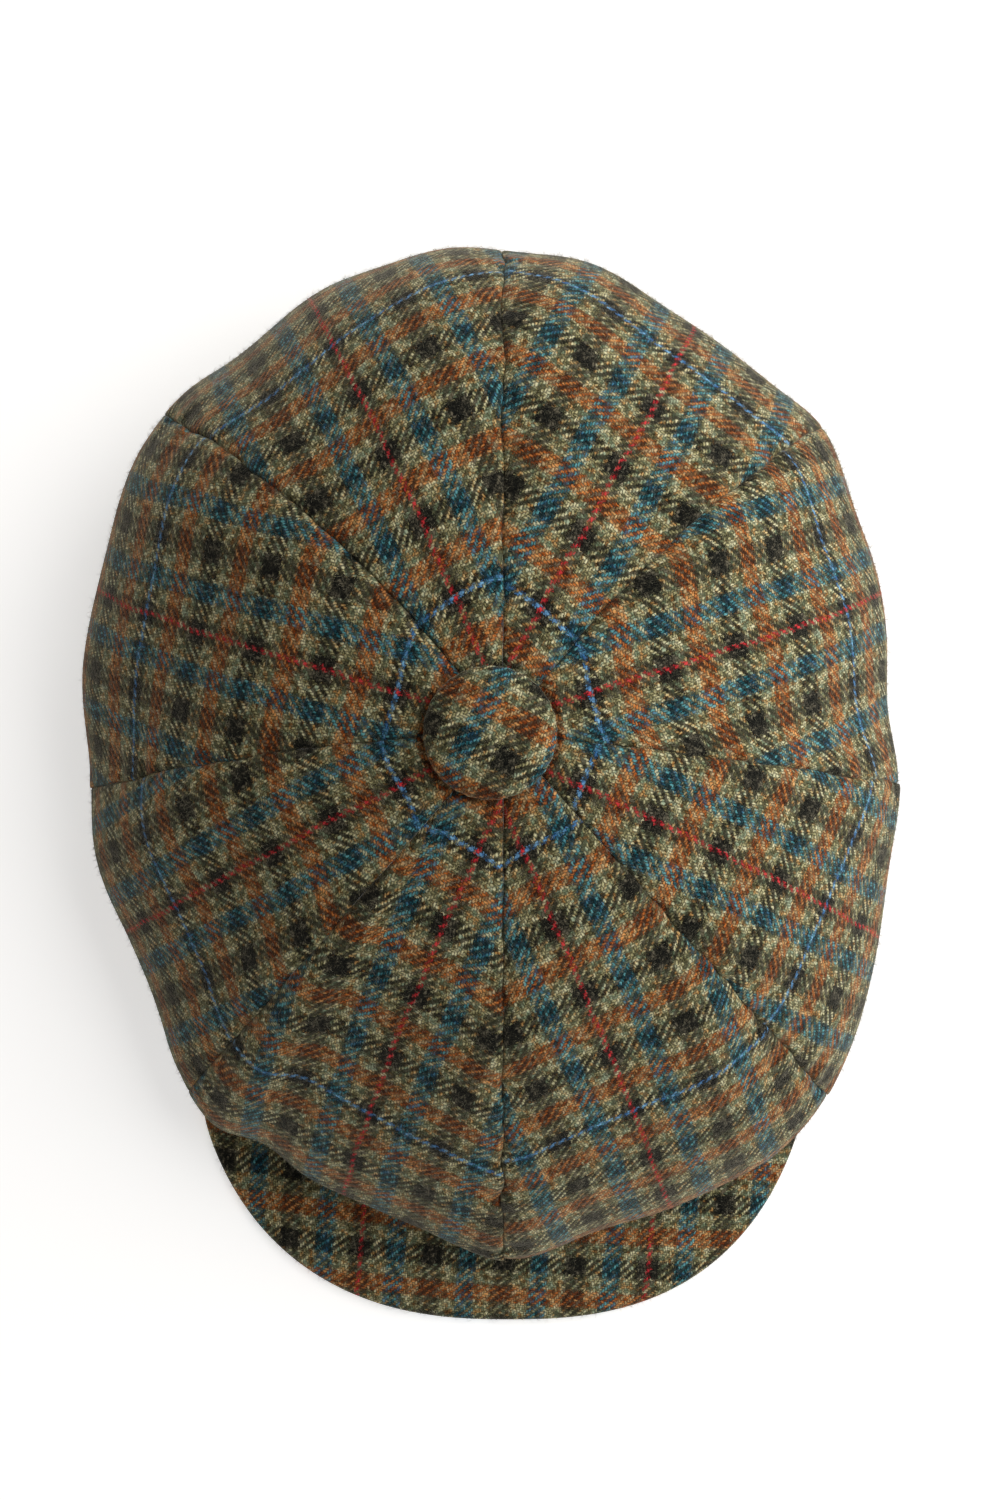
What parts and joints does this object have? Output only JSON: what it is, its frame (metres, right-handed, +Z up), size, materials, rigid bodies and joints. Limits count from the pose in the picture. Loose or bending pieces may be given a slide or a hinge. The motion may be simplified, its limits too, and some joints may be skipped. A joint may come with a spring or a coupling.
{
  "type": "baker boy cap",
  "caption": "Soft panelled baker boy cap in checked tweed, with a full crown gathered to a covered button, a head band and a stiff rounded peak.",
  "frame": {"origin": "centre of the head opening, in the plane that the cap rests on", "axes": "+Z up through the crown, -Y towards the peak, +X towards the wearer's left, to the right in the picture seen from above with the peak nearest the viewer"},
  "size_m": [0.2378, 0.3196, 0.1114],
  "materials": {
    "tweed": "milled wool tweed in a small check"
  },
  "bodies": {
    "root": {"crown_panel_1": "tweed", "crown_panel_2": "tweed", "crown_panel_3": "tweed", "crown_panel_4": "tweed", "crown_panel_5": "tweed", "crown_panel_6": "tweed", "crown_panel_7": "tweed", "crown_panel_8": "tweed", "head_band": "tweed", "peak": "tweed", "crown_button": "tweed"}
  },
  "joints": []
}
